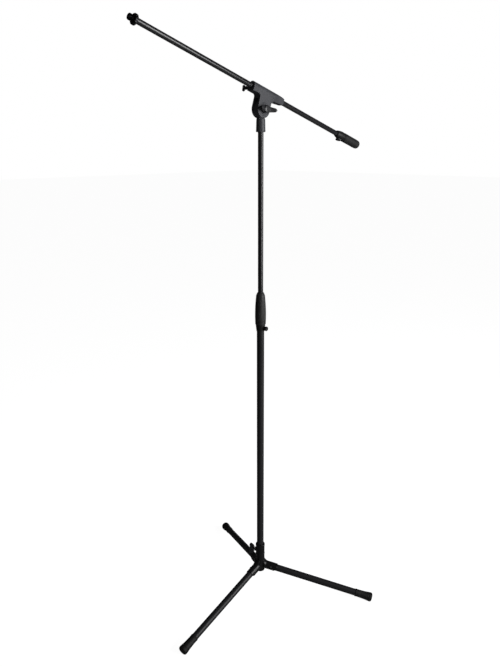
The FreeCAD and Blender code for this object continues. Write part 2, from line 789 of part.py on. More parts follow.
def make_height_grip():
    cavity = "boss_radius + 0.6"
    throat = "mast_radius + 0.6"
    grip = turned(
        "height_grip",
        [
            (cavity, "grip_low"),
            ("grip_low_radius", "grip_low"),
            ("grip_shoulder_radius", "grip_shoulder"),
            (throat + " + 1.6", "grip_top - 1"),
            (throat + " + 0.8", "grip_top"),
            (throat, "grip_top"),
            (throat, "collet_top + 4"),
            ("mast_radius + 2.6", "collet_top + 1"),
            (cavity, "collet_low + 19"),
        ],
        {1: ("grip_barrel", True)},
    )
    node(grip, "height_grip")


# ---------------------------------------------------------------------------------------------
# Upper post and head
# ---------------------------------------------------------------------------------------------
def make_upper_post():
    inner = "(mast_radius - mast_wall)"
    tube = tube_body("upper_tube", "mast_radius", inner, "mast_low", "mast_top")
    node(tube, "upper_tube")
    bush = turned(
        "upper_tube_bush",
        [
            ("mast_radius + 0.02", "mast_low"),
            ("mast_radius + 0.02", "mast_low + mast_bush_length"),
            ("post_radius - post_wall - 0.7", "mast_low + mast_bush_length"),
            ("post_radius - post_wall - 0.05", "mast_low + mast_bush_length - 1"),
            ("post_radius - post_wall - 0.05", "mast_low - 1"),
            ("post_radius - post_wall - 0.7", "mast_low - 2"),
            (f"{inner}", "mast_low - 2"),
            (f"{inner}", "mast_low - 0.1"),
            ("mast_radius + 0.02", "mast_low - 0.1"),
        ],
    )
    node(bush, "upper_tube_bush")
    stud = turned(
        "mast_stud",
        [
            ("0", "mast_top - 25"),
            (f"{inner} - 0.05", "mast_top - 25"),
            (f"{inner} - 0.05", "mast_top"),
            ("mast_radius - 0.1", "mast_top"),
            ("mast_radius - 0.1", "mast_top + 2"),
            ("head_stud_radius", "mast_top + 2"),
            ("head_stud_radius", "mast_top + 23"),
            ("head_stud_radius - 1", "mast_top + 24"),
            ("0", "mast_top + 24"),
        ],
    )
    node(stud, "mast_stud")


def make_head():
    """Socket that swivels on the mast's stud, with the knuckle disc on top."""
    socket = turned(
        "head_socket",
        [
            ("0", "head_low + 2"),
            ("0", "head_collar_top"),
            ("head_radius - 1.8", "head_collar_top"),
            ("head_radius - 0.8", "head_collar_top - 1"),
            ("head_radius", "head_low + 1.5"),
            ("head_radius - 1.2", "head_low"),
            ("mast_radius", "head_low"),
            ("mast_radius", "head_low + 2"),
        ],
    )
    neck = [
        ("-11", "head_collar_top - 3"),
        ("11", "head_collar_top - 3"),
        ("11", "pivot_height"),
        ("-11", "pivot_height"),
    ]
    pad(socket, "XZ_Plane", outlined(neck), "2 * disc_half")
    disc = circled(("0", "pivot_height"), "knuckle_disc")
    pad(socket, "XZ_Plane", disc, "2 * disc_half")
    bolt_hole = circled(("0", "pivot_height"), "bolt_radius + running_gap")
    pocket(socket, "XZ_Plane", bolt_hole)
    seat = "mast_radius + running_gap"
    turned_cut(
        socket,
        [
            ("0", "head_low - 5"),
            (seat, "head_low - 5"),
            (seat, "mast_top + 2.5"),
            ("head_stud_radius + 2.55", "mast_top + 2.5"),
            ("head_stud_radius + 2.55", "mast_top + 25"),
            ("0", "mast_top + 25"),
        ],
    )
    node(socket, "head_socket")
    insert = tube_body(
        "head_insert",
        "head_stud_radius + 2.5",
        "head_stud_radius + running_gap",
        "mast_top + 3",
        "mast_top + 23",
    )
    node(insert, "head_insert")
    washer = tube_body(
        "friction_washer", "knuckle_disc - 1.5", "bolt_radius + 0.5", "0", "friction_thick"
    )
    pivot = move("0", "0", "pivot_height")
    near = pivot * move("0", "disc_half", "0") * ALONG_Y
    far = pivot * move("0", "-disc_half", "0") * AGAINST_Y
    node(copies("friction_washers", washer, [near, far]), "friction_washers")


# ---------------------------------------------------------------------------------------------
# Boom clamp
# ---------------------------------------------------------------------------------------------
def make_boom_clamp():
    """Sleeve round the boom with a tail, and two cheeks that reach down to the tilt axis."""
    clamp = block(
        [
            ("clamp_front", "clamp_top"),
            ("-(clamp_tail - tail_slope)", "clamp_top"),
            ("-clamp_tail", "tail_half"),
            ("-clamp_tail", "-tail_half"),
            ("-(cheek_radius + 8)", "-tail_under"),
            ("-cheek_radius", "-tail_under - 8"),
            ("-cheek_radius", "-boom_above_pivot"),
            ("0", "-boom_above_pivot - cheek_radius"),
            ("cheek_radius", "-boom_above_pivot"),
            ("cheek_radius", "-sleeve_under - 6"),
            ("cheek_radius + 6", "-sleeve_under"),
            ("clamp_front", "-sleeve_under"),
        ],
        {6: ("cheek_radius", True), 7: ("cheek_radius", True), 9: ("6", False)},
        "2 * clamp_half",
        "boom_clamp",
    )
    boss = circled(("lock_place", "0"), "lock_boss_radius")
    pad(clamp, "XZ_Plane", boss, "lock_boss_end", both=False)
    # Round the top of the sleeve over the boom.
    crown = "clamp_top - clamp_half"
    over = [
        ("-clamp_half - 1", crown),
        ("-clamp_half", crown),
        ("0", "clamp_top"),
        ("clamp_half", crown),
        ("clamp_half + 1", crown),
        ("clamp_half + 1", "clamp_top + 5"),
        ("-clamp_half - 1", "clamp_top + 5"),
    ]
    arcs = {1: ("clamp_half", False), 2: ("clamp_half", False)}
    pocket(clamp, "YZ_Plane", outlined(over, arcs))
    # Narrow the tail on both sides.
    for side in ("", "-"):
        taper = [
            ("-clamp_tail - 2", f"{side}tail_half"),
            ("-cheek_radius", f"{side}(clamp_half + 0.5)"),
            ("-clamp_tail - 2", f"{side}(clamp_half + 0.5)"),
        ]
        pocket(clamp, "XY_Plane", outlined(taper))
    slot = [
        ("-cheek_radius - 10", "-slot_top"),
        ("cheek_radius + 10", "-slot_top"),
        ("cheek_radius + 10", "-boom_above_pivot - cheek_radius - 5"),
        ("-cheek_radius - 10", "-boom_above_pivot - cheek_radius - 5"),
    ]
    cheek_gap = "2 * (disc_half + friction_thick) + 0.2"
    pocket(clamp, "XZ_Plane", outlined(slot), cheek_gap)
    pocket(clamp, "YZ_Plane", circled(("0", "0"), "boom_radius + running_gap"))
    bolt_hole = circled(("0", "-boom_above_pivot"), "bolt_radius + running_gap")
    pocket(clamp, "XZ_Plane", bolt_hole)
    insert_hole = circled(("lock_place", "0"), "lock_radius + 1.6")
    pocket(clamp, "XZ_Plane", insert_hole, both=False, back=True)
    node(clamp, "boom_clamp", BOOM_FRAME)


def make_pivot_bolt():
    """Bolt through both cheeks, its washer, and the wing knob that draws it tight."""
    frame = PIVOT_FRAME * ALONG_Y
    half = "clamp_half"
    bolt = turned(
        "pivot_bolt",
        [
            ("0", f"-{half} - 5"),
            ("6.6", f"-{half} - 5"),
            ("7.5", f"-{half} - 4.2"),
            ("7.5", f"-{half}"),
            ("bolt_radius", f"-{half}"),
            ("bolt_radius", "wing_cap - 4"),
            ("0", "wing_cap - 4"),
        ],
    )
    pocket(bolt, "XY_Plane", hexagon_outside("6.5", "9"), both=False)
    node(bolt, "pivot_bolt", frame)
    washer = tube_body("pivot_washer", "9", "bolt_radius + 0.3", half, f"{half} + 1")
    node(washer, "pivot_washer", frame)


def hexagon_outside(flat, reach):
    """Ring from a hexagon, given by its half width over flats, out to a round boundary."""

    def draw(sketch):
        corners = []
        for i in range(6):
            angle = 60 * i + 30
            corners.append((f"{flat} / cos(30) * cos({angle})", f"{flat} / cos(30) * sin({angle})"))
        draw_outline(sketch, corners)
        draw_circle(sketch, ("0", "0"), reach)

    return draw


def make_pivot_knob():
    """Hub over the bolt's nut, and two wings that sweep away from the clamp towards their tips."""
    frame = PIVOT_FRAME * turn(Y_AXIS, size("wing_turn"))
    tip_place = "(wing_reach - wing_tip)"
    wings = new_body("pivot_wing_knob")
    knob = [
        (f"-{tip_place}", "wing_tip"),
        ("-5", "wing_hub - 1"),
        ("5", "wing_hub - 1"),
        (tip_place, "wing_tip"),
        ("wing_reach", "0"),
        (tip_place, "-wing_tip"),
        ("5", "-wing_hub + 1"),
        ("-5", "-wing_hub + 1"),
        (f"-{tip_place}", "-wing_tip"),
        ("-wing_reach", "0"),
    ]
    tips = {i: ("wing_tip", False) for i in (3, 4, 8, 9)}
    pad(wings, "XZ_Plane", outlined(knob, tips), "wing_high", both=False, back=True)
    for side in ("", "-"):
        under = [
            (f"{side}wing_root", "-1"),
            (f"{side}(wing_reach + 5)", "-1"),
            (f"{side}(wing_reach + 5)", "wing_high - wing_thick"),
            (f"{side}wing_reach", "wing_high - wing_thick"),
            (f"{side}wing_root", "wing_low"),
        ]
        pocket(wings, "XY_Plane", outlined(under))
    over = [
        ("-wing_reach", "wing_high + 2"),
        ("-wing_reach", "wing_high"),
        ("-wing_root", "wing_low + wing_thick"),
        ("wing_root", "wing_low + wing_thick"),
        ("wing_reach", "wing_high"),
        ("wing_reach", "wing_high + 2"),
    ]
    pocket(wings, "XY_Plane", outlined(over))
    middle = ("0", "0")
    pad(wings, "XZ_Plane", circled(middle, "wing_hub"), "wing_cap", both=False, back=True)
    base = "clamp_half + 1.3"
    pocket(wings, "XZ_Plane", circled(middle, "wing_hub + 2"), base, both=False)
    pocket(wings, "XZ_Plane", circled(middle, "bolt_radius + 3"), "wing_cap - 3", both=False)
    node(wings, "pivot_wing_knob", frame)
    nut = tube_body(
        "pivot_knob_nut",
        "bolt_radius + 2.95",
        "bolt_radius + running_gap",
        "clamp_half + 1.5",
        "wing_cap - 5",
    )
    node(nut, "pivot_knob_nut", PIVOT_FRAME * ALONG_Y)


def make_boom_lock():
    """Tee screw on the far side of the sleeve that presses a pad on the boom."""
    frame = BOOM_FRAME * move("lock_place", "0", "0") * AGAINST_Y
    insert = tube_body(
        "lock_screw_insert",
        "lock_radius + 1.55",
        "lock_radius + running_gap",
        "boom_radius + 2.5",
        "lock_boss_end",
    )
    node(insert, "lock_screw_insert", frame)
    stud = rod_body("lock_screw_stud", "lock_radius", "boom_radius + 1.8", "lock_bar_end - 3")
    node(stud, "lock_screw_stud", frame)
    tip = rod_body("lock_screw_tip", "lock_radius - 0.3", "boom_radius + 0.3", "boom_radius + 1.8")
    node(tip, "lock_screw_tip", frame)
    bar = new_body("lock_screw_knob")
    half = "lock_bar_length / 2"
    wide = "lock_bar_width / 2"
    tee = [
        (f"-{wide}", f"-{half} + 3"),
        ("0", f"-{half}"),
        (wide, f"-{half} + 3"),
        (wide, f"{half} - 3"),
        ("0", half),
        (f"-{wide}", f"{half} - 3"),
    ]
    pad(bar, "XY_Plane", outlined(tee), "lock_bar_end", both=False)
    pocket(bar, "XY_Plane", circled(("0", "0"), "20"), "lock_bar_start", both=False, back=True)
    pad(bar, "XY_Plane", circled(("0", "0"), "5"), "lock_bar_start + 1", both=False)
    pocket(bar, "XY_Plane", circled(("0", "0"), "6"), "lock_boss_end + 5", both=False, back=True)
    stud_hole = circled(("0", "0"), "lock_radius")
    pocket(bar, "XY_Plane", stud_hole, "lock_bar_end - 3", both=False, back=True)
    node(bar, "lock_screw_knob", frame * turn(Z_AXIS, -8))


# ---------------------------------------------------------------------------------------------
# Boom, microphone end and counterweight, in the boom's frame with z turned along the boom
# ---------------------------------------------------------------------------------------------
def make_boom():
    frame = BOOM_FRAME * ALONG_X
    inner = "(boom_radius - boom_wall)"
    node(tube_body("boom_tube", "boom_radius", inner, "-boom_back", "boom_front"), "boom_tube", frame)
    stud = turned(
        "boom_end_stud",
        [
            ("0", "boom_front - 25"),
            (f"{inner} - 0.05", "boom_front - 25"),
            (f"{inner} - 0.05", "boom_front"),
            ("boom_radius", "boom_front"),
            ("boom_radius", "boom_front + 1"),
            ("thread_radius", "boom_front + 1"),
            ("thread_radius", "stud_end - 1"),
            ("thread_radius - 1", "stud_end"),
            ("0", "stud_end"),
        ],
    )
    node(stud, "boom_end_stud", frame)


def make_thread_end():
    """Lock ring and thread adapter, both on the boom's stud."""
    frame = BOOM_FRAME * ALONG_X
    bore = "thread_radius + running_gap"
    low = "boom_front + 1 + clearance"
    ring = turned(
        "lock_ring",
        [
            (bore, low),
            ("ring_radius - 1", low),
            ("ring_radius", f"{low} + 1"),
            ("ring_radius", f"{low} + ring_thick - 1"),
            ("ring_radius - 1", f"{low} + ring_thick"),
            (bore, f"{low} + ring_thick"),
        ],
    )
    scallop = pocket(ring, "XY_Plane", circled(("ring_radius + 1.6", "0"), "2.4"), back=True)
    repeat(ring, scallop, "ring_scallops")
    node(ring, "lock_ring", frame)
    adapter = turned(
        "thread_adapter",
        [
            (bore, "adapter_start"),
            ("adapter_radius", "adapter_start"),
            ("adapter_radius", "adapter_start + adapter_length - 1"),
            ("adapter_radius - 1", "adapter_start + adapter_length"),
            (bore, "adapter_start + adapter_length"),
        ],
    )
    node(adapter, "thread_adapter", frame)


def make_counterweight():
    """Steel core in a soft jacket, and a tapered collar whose thumb screw grips the boom."""
    frame = BOOM_FRAME * AGAINST_X
    seat = "boom_radius + 0.05"
    core_start = "(weight_front + weight_collar_length + 0.1)"
    core_end = "(weight_back - 5)"
    core = turned(
        "counterweight_core",
        [
            (seat, core_start),
            ("weight_core_radius", core_start),
            ("weight_core_radius", f"{core_end} - 4"),
            ("weight_core_radius - 4", core_end),
            ("0", core_end),
            ("0", "boom_back + 0.5"),
            (seat, "boom_back + 0.5"),
        ],
    )
    node(core, "counterweight_core", frame)

    lining = "weight_core_radius + 0.05"
    jacket = turned(
        "counterweight_jacket",
        [
            (lining, core_start),
            ("weight_radius", core_start),
            ("weight_radius - 0.2", "weight_back - 9"),
            ("weight_radius - 9", "weight_back"),
            ("0", "weight_back"),
            ("0", f"{core_end} + 0.05"),
            ("weight_core_radius - 3.95", f"{core_end} + 0.05"),
            (lining, f"{core_end} - 3.95"),
        ],
        {2: ("9.5", True)},
    )
    node(jacket, "counterweight_jacket", frame)

    collar_end = "(weight_front + weight_collar_length)"
    collar = turned(
        "counterweight_collar",
        [
            (seat, "weight_front"),
            ("weight_collar_radius - 4.4", "weight_front"),
            ("weight_collar_radius - 3.6", "weight_front + 1"),
            ("weight_collar_radius", f"{collar_end} - 4"),
            ("weight_collar_radius", collar_end),
            (seat, collar_end),
        ],
        {2: ("90", True)},
    )
    # The collar's own x axis points down, along the thumb screw.
    downward = frame * turn(Z_AXIS, 180)
    flat = [
        ("weight_flat", "weight_screw_place - weight_knob_radius - 2"),
        ("weight_collar_radius + 2", "weight_screw_place - weight_knob_radius - 2"),
        ("weight_collar_radius + 2", "weight_screw_place + weight_knob_radius + 2"),
        ("weight_flat", "weight_screw_place + weight_knob_radius + 2"),
    ]
    pocket(collar, "XZ_Plane", outlined(flat))
    screw_hole = circled(("0", "weight_screw_place"), "weight_screw_radius + running_gap")
    pocket(collar, "YZ_Plane", screw_hole, both=False, back=True)
    node(collar, "counterweight_collar", downward)

    screw_frame = downward * move("0", "0", "weight_screw_place") * ALONG_X
    head_under = "(weight_flat + clearance)"
    knob = turned(
        "counterweight_knob",
        [
            ("weight_screw_radius", head_under),
            ("weight_knob_radius - 1", head_under),
            ("weight_knob_radius", f"{head_under} + 1"),
            ("weight_knob_radius", "weight_knob_end - 1.5"),
            ("weight_knob_radius - 1.5", "weight_knob_end"),
            ("0", "weight_knob_end"),
            ("0", "weight_knob_end - 2"),
            ("weight_screw_radius", "weight_knob_end - 2"),
        ],
        {3: ("1.5", True)},
    )
    node(knob, "counterweight_knob", screw_frame)
    screw = rod_body(
        "counterweight_screw", "weight_screw_radius", "boom_radius + clearance", "weight_knob_end - 2"
    )
    node(screw, "counterweight_screw", screw_frame)


# ---------------------------------------------------------------------------------------------
# Assembly
# ---------------------------------------------------------------------------------------------
make_hub()
make_leg_pins()
make_base_screw()
for leg in range(1, LEG_COUNT + 1):
    make_leg(leg)
make_lower_post()
make_clutch_screw()
make_height_grip()
make_upper_post()
make_head()
make_boom_clamp()
make_pivot_bolt()
make_pivot_knob()
make_boom_lock()
make_boom()
make_thread_end()
make_counterweight()
doc.recompute()

faults = [thing.Name for thing in doc.Objects if {"Invalid", "Error"} & set(thing.State)]
for part in nodes:
    if part.Shape.isNull() or not part.Shape.isValid():
        faults.append(part.Label)
if faults:
    raise RuntimeError(f"failed: {faults}")

os.makedirs("parts", exist_ok=True)
for part in nodes:
    part.Shape.exportStep(f"parts/{part.Label}.step")
    box = part.Shape.BoundBox
    count = len(part.Shape.Solids)
    print(
        f"{part.Label:24s} {count} solid(s) {part.Shape.Volume / 1000:9.2f} cm3"
        f"  x {box.XMin:8.1f} {box.XMax:8.1f}  y {box.YMin:8.1f} {box.YMax:8.1f}"
        f"  z {box.ZMin:8.1f} {box.ZMax:8.1f}"
    )
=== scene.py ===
"""Looks of the boom microphone stand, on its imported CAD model. Metres, +Z up, as in the CAD."""

import json
import math
import re

import bmesh
import bpy
from mathutils import Matrix, Vector


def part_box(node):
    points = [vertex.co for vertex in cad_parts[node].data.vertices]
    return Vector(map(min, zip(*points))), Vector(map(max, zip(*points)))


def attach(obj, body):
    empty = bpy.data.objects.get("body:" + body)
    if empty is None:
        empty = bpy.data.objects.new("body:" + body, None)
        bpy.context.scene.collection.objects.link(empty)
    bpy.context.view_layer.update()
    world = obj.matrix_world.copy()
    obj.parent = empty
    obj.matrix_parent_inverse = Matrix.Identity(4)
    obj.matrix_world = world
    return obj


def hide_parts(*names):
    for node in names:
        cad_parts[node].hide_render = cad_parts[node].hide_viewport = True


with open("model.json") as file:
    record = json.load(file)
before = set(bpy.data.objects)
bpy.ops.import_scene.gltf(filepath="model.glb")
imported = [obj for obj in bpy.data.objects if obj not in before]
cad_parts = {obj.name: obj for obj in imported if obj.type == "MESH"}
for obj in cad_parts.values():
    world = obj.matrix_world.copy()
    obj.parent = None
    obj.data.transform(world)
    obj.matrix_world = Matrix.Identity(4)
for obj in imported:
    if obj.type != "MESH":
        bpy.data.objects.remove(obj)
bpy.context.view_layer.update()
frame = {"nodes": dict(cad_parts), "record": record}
joints = {joint["name"]: joint for joint in frame["record"]["behaviour"]["joints"]}
MM = 0.001
UP = Vector((0, 0, 1))


# ---------------------------------------------------------------------------------------------
# Frames of the stand, from its joints
# ---------------------------------------------------------------------------------------------
def frame_at(origin, x_way, z_way=UP):
    """Frame with its x axis along x_way and its z axis as near z_way as it can be."""
    x = Vector(x_way).normalized()
    y = Vector(z_way).cross(x).normalized()
    matrix = Matrix((x, y, x.cross(y))).transposed().to_4x4()
    matrix.translation = Vector(origin)
    return matrix


def spin(degrees, axis):
    return Matrix.Rotation(math.radians(degrees), 4, axis)


ALONG_X = spin(90, "Y")  # turns a piece's own z axis to the frame's x axis
ALONG_Y = spin(-90, "X")

# Degrees by which each knob is turned about its screw, and millimetres of thread per turn.
PIVOT_KNOB_TURN = 10
LOCK_KNOB_TURN = -8
BASE_KNOB_TURN = 12
THREAD_PITCH = 25.4 / 27

pivot = Vector(joints["boom_tilt"]["pos_m"])
boom_way = Vector(joints["boom_slide"]["axis"])
ring_place = Vector(joints["lock_ring_spin"]["pos_m"])
boom_middle = ring_place + boom_way * (pivot - ring_place).dot(boom_way)
PIVOT = frame_at(pivot, boom_way)
BOOM = frame_at(boom_middle, boom_way)


def screw_frame(joint):
    """x out along a screw that lies level, z up."""
    return frame_at(joints[joint]["pos_m"], joints[joint]["axis"])


def leg_frame(number):
    """At a leg's pin: x out along the leg, y along the pin."""
    joint = joints[f"leg_fold_{number}"]
    slope = math.radians(90 - joint["range_deg"][1])
    outward = Vector(joint["axis"]).cross(UP)
    return frame_at(joint["pos_m"], outward * math.cos(slope) - UP * math.sin(slope))


def reach(name, matrix):
    """Lowest and highest corner of a CAD node in a frame, in millimetres."""
    back = matrix.inverted()
    points = [back @ v.co for v in frame["nodes"][name].data.vertices]
    lowest = Vector([min(p[i] for p in points) for i in range(3)]) / MM
    highest = Vector([max(p[i] for p in points) for i in range(3)]) / MM
    return lowest, highest


# ---------------------------------------------------------------------------------------------
# Materials
# ---------------------------------------------------------------------------------------------
class Nodes:
    """Small builder for one procedural material."""

    def __init__(self, name):
        self.material = bpy.data.materials.new(name)
        self.material.use_nodes = True
        self.tree = self.material.node_tree
        self.shader = self.tree.nodes["Principled BSDF"]
        self.place = self.new("ShaderNodeTexCoord").outputs["Object"]

    def new(self, kind, **settings):
        node = self.tree.nodes.new(kind)
        for key, value in settings.items():
            setattr(node, key, value)
        return node

    def link(self, source, target):
        self.tree.links.new(source, target)

    def noise(self, scale, detail=4, rough=0.55, stretch=None):
        """Noise from 0 to 1 at a scale in cycles per metre."""
        place = self.place
        if stretch:
            mapping = self.new("ShaderNodeMapping")
            mapping.inputs["Scale"].default_value = stretch
            self.link(place, mapping.inputs["Vector"])
            place = mapping.outputs["Vector"]
        noise = self.new("ShaderNodeTexNoise")
        noise.inputs["Scale"].default_value = scale
        noise.inputs["Detail"].default_value = detail
        noise.inputs["Roughness"].default_value = rough
        self.link(place, noise.inputs["Vector"])
        return noise.outputs["Fac"]

    def ramp(self, source, low, high, start=0.0, end=1.0):
        """Map a value between low and high to the range from start to end."""
        node = self.new("ShaderNodeMapRange")
        node.inputs["From Min"].default_value = low
        node.inputs["From Max"].default_value = high
        node.inputs["To Min"].default_value = start
        node.inputs["To Max"].default_value = end
        self.link(source, node.inputs["Value"])
        return node.outputs["Result"]

    def mix(self, factor, first, second):
        """Mix of two colours, each a socket or an (r, g, b)."""
        node = self.new("ShaderNodeMix", data_type="RGBA")
        self.link(factor, node.inputs[0])
        for colour, socket in ((first, node.inputs[6]), (second, node.inputs[7])):
            if isinstance(colour, tuple):
                socket.default_value = (*colour, 1)
            else:
                self.link(colour, socket)
        return node.outputs[2]

    def add(self, first, second, weight=1.0):
        node = self.new("ShaderNodeMath", operation="MULTIPLY_ADD")
        self.link(second, node.inputs[0])
        node.inputs[1].default_value = weight
        self.link(first, node.inputs[2])
        return node.outputs[0]

    def edges(self, low=0.52, high=0.6):
        """1 on convex edges, 0 on flats."""
        return self.ramp(self.new("ShaderNodeNewGeometry").outputs["Pointiness"], low, high)

    def bump(self, height, distance):
        node = self.new("ShaderNodeBump")
        node.inputs["Distance"].default_value = distance
        self.link(height, node.inputs["Height"])
        self.link(node.outputs["Normal"], self.shader.inputs["Normal"])

    def colour(self, source):
        self.link(source, self.shader.inputs["Base Color"])

    def roughness(self, source):
        self.link(source, self.shader.inputs["Roughness"])

    def settings(self, **values):
        for key, value in values.items():
            self.shader.inputs[key.replace("_", " ")].default_value = value


def painted(name, colour, worn, rough=(0.18, 0.27), ior=1.45):
    """Stoved gloss paint on steel: faint orange peel, handling marks and paler edges."""
    m = Nodes(name)
    cloud = m.noise(9, 5)
    streak = m.noise(60, 6, 0.6, (6, 6, 0.5))
    tone = m.mix(m.ramp(cloud, 0.35, 0.7), colour, tuple(c * 1.5 for c in colour))
    tone = m.mix(m.edges(0.53, 0.62), tone, worn)
    m.colour(tone)
    m.roughness(m.ramp(m.add(cloud, streak, 0.6), 0.5, 1.1, *rough))
    m.bump(m.add(m.noise(900, 3), m.noise(2600, 2), 0.3), 0.00003)
    m.settings(IOR=ior)
    return m.material


def moulded(name, colour, rough=(0.42, 0.58), grain=2200, depth=0.00006, lift=1.35):
    """Moulded plastic with a fine spark-eroded grain, and a painted sheen: its convex edges are
    given a lighter colour, as if rubbed shiny.
    """
    m = Nodes(name)
    cloud = m.noise(25, 4)
    tone = m.mix(m.ramp(cloud, 0.3, 0.7), colour, tuple(c * lift for c in colour))
    # Painted sheen: convex edges are lightened in colour to stand in for the shine of rubbed edges.
    tone = m.mix(m.edges(), tone, tuple(min(c * 1.8 + 0.004, 1) for c in colour))
    m.colour(tone)
    m.roughness(m.ramp(m.add(cloud, m.noise(300, 3), 0.5), 0.45, 1.0, *rough))
    m.bump(m.noise(grain, 3, 0.6), depth)
    m.settings(IOR=1.4)
    return m.material


def rubber(name, colour, dusty=(0.03, 0.029, 0.027)):
    """Dull rubber with dust in its pores."""
    m = Nodes(name)
    dust = m.noise(45, 6, 0.7)
    tone = m.mix(m.ramp(dust, 0.5, 0.8), colour, dusty)
    m.colour(m.mix(m.edges(0.53, 0.64), tone, dusty))
    m.roughness(m.ramp(dust, 0.3, 0.8, 0.55, 0.8))
    m.bump(m.add(m.noise(1400, 4, 0.7), m.noise(220, 2), 0.6), 0.0001)
    m.settings(IOR=1.4)
    return m.material


def metal(name, colour, rough=(0.22, 0.4), turned=(1, 1, 30)):
    """Turned or plated metal with fine tool marks."""
    m = Nodes(name)
    marks = m.noise(500, 4, 0.6, turned)
    cloud = m.noise(40, 4)
    m.colour(m.mix(m.ramp(cloud, 0.3, 0.75), colour, tuple(c * 0.72 for c in colour)))
    m.roughness(m.ramp(m.add(cloud, marks, 0.5), 0.45, 1.0, *rough))
    m.bump(marks, 0.00003)
    m.settings(Metallic=1.0)
    return m.material


LOOKS = {
    "tube_paint": painted("tube_paint", (0.0055, 0.0055, 0.0062), (0.02, 0.02, 0.022)),
    "hub_plastic": moulded("hub_plastic", (0.0065, 0.0065, 0.0072), (0.24, 0.36)),
    "head_plastic": moulded("head_plastic", (0.062, 0.063, 0.071), (0.38, 0.52)),
    "grip_plastic": moulded("grip_plastic", (0.024, 0.0236, 0.0242), (0.38, 0.52)),
    "clutch_plastic": moulded("clutch_plastic", (0.008, 0.008, 0.0084)),
    "knob_plastic": moulded("knob_plastic", (0.03, 0.03, 0.0325), (0.26, 0.38)),
    "foot_rubber": rubber("foot_rubber", (0.006, 0.006, 0.006)),
    "weight_jacket": rubber("weight_jacket", (0.015, 0.015, 0.0155)),
    "weight_collar": moulded("weight_collar", (0.006, 0.006, 0.006), (0.4, 0.55), 900, 0.00002),
    "weight_steel": metal("weight_steel", (0.35, 0.35, 0.36)),
    "ring_metal": metal("ring_metal", (0.03, 0.03, 0.032), (0.3, 0.45)),
    "zinc_steel": metal("zinc_steel", (0.5, 0.5, 0.51)),
    "pin_steel": metal("pin_steel", (0.06, 0.06, 0.062)),
    "brass": metal("brass", (0.62, 0.44, 0.18)),
    "nylon": moulded("nylon", (0.5, 0.5, 0.47), (0.4, 0.5), 1200, 0.00002, 1.1),
}
# The legs' paint is duller than the posts'.
LEG_PAINT = painted("leg_paint", (0.0055, 0.0055, 0.0062), (0.02, 0.02, 0.022), (0.34, 0.46), 1.33)
SLOTS = {entry["node"]: entry["material_slot"] for entry in frame["record"]["subparts"]}
BODIES = {
    node: body for body, nodes in frame["record"]["behaviour"]["bodies"].items() for node in nodes
}

for name, look in SLOTS.items():
    materials = frame["nodes"][name].data.materials
    materials.clear()
    materials.append(LEG_PAINT if re.fullmatch("leg_._tube", name) else LOOKS[look])


# ---------------------------------------------------------------------------------------------
# Shapes, in millimetres in their own frames
# ---------------------------------------------------------------------------------------------
def rounded(corners, steps=4):
    """Outline of (x, y, rounding) corners, with each corner rounded by an arc of its own size."""
    count = len(corners)
    points = []
    for i, (x, y, radius) in enumerate(corners):
        here = Vector((x, y))
        before = Vector(corners[i - 1][:2]) - here
        after = Vector(corners[(i + 1) % count][:2]) - here
        turn = math.pi - before.angle(after) if before.length and after.length else 0
        if radius <= 0 or turn < 0.02:
            points.append((x, y))
            continue
        cut = min(radius * math.tan(turn / 2), before.length * 0.49, after.length * 0.49)
        start, end = here + before.normalized() * cut, here + after.normalized() * cut
        for k in range(steps + 1):
            t = k / steps
            point = start * (1 - t) ** 2 + here * 2 * t * (1 - t) + end * t**2
            points.append(tuple(point))
    return points


def lathe(corners, around=72, wave=None):
    """Solid turned about z from (radius, height, rounding) corners; wave adds to the radius."""
    shape = bmesh.new()
    rows = []
    for radius, height in rounded(corners):
        row = []
        for i in range(around):
            angle = 2 * math.pi * i / around
            far = radius + (wave(angle, radius, height) if wave else 0)
            place = Vector((far * math.cos(angle), far * math.sin(angle), height))
            row.append(shape.verts.new(place))
        rows.append(row)
    for j, row in enumerate(rows):
        after = rows[(j + 1) % len(rows)]
        for i in range(around):
            k = (i + 1) % around
            shape.faces.new((row[i], row[k], after[k], after[i]))
    bmesh.ops.remove_doubles(shape, verts=shape.verts, dist=0.0005)
    bmesh.ops.recalc_face_normals(shape, faces=shape.faces)
    return shape


def loft(sections, around=20, power=2.6):
    """Closed solid through superellipse sections: (centre, across, upward, half widths)."""
    shape = bmesh.new()
    rows = []
    for centre, across, upward, wide, high in sections:
        row = []
        for i in range(around):
            angle = 2 * math.pi * i / around
            c, s = math.cos(angle), math.sin(angle)
            x = math.copysign(abs(c) ** (2 / power), c) * wide
            y = math.copysign(abs(s) ** (2 / power), s) * high
            row.append(shape.verts.new(Vector(centre) + Vector(across) * x + Vector(upward) * y))
        rows.append(row)
    for row, after in zip(rows, rows[1:]):
        for i in range(around):
            k = (i + 1) % around
            shape.faces.new((row[i], row[k], after[k], after[i]))
    shape.faces.new(rows[0])
    shape.faces.new(rows[-1])
    bmesh.ops.recalc_face_normals(shape, faces=shape.faces)
    return shape


def cut_below(shape, height):
    """Cut away what is below a height and close the cut."""
    bmesh.ops.bisect_plane(
        shape,
        geom=[*shape.verts, *shape.edges, *shape.faces],
        dist=1e-7,
        plane_co=(0, 0, height),
        plane_no=(0, 0, -1),
        clear_outer=True,
    )
    bmesh.ops.holes_fill(shape, edges=[e for e in shape.edges if e.is_boundary])
    return shape


def placed(shape, matrix):
    """Put a shape into the stand's frame: millimetres to metres, then the matrix."""
    shape.transform(matrix @ Matrix.Scale(MM, 4))
    return shape


def node_shape(name):
    """A copy of a CAD node's own shape, in the stand's frame."""
    shape = bmesh.new()
    shape.from_mesh(frame["nodes"][name].data)
    bmesh.ops.remove_doubles(shape, verts=shape.verts, dist=0.00001)
    return shape


def joined(shapes):
    whole = bmesh.new()
    for shape in shapes:
        mesh = bpy.data.meshes.new("part")
        shape.to_mesh(mesh)
        whole.from_mesh(mesh)
        bpy.data.meshes.remove(mesh)
    return whole


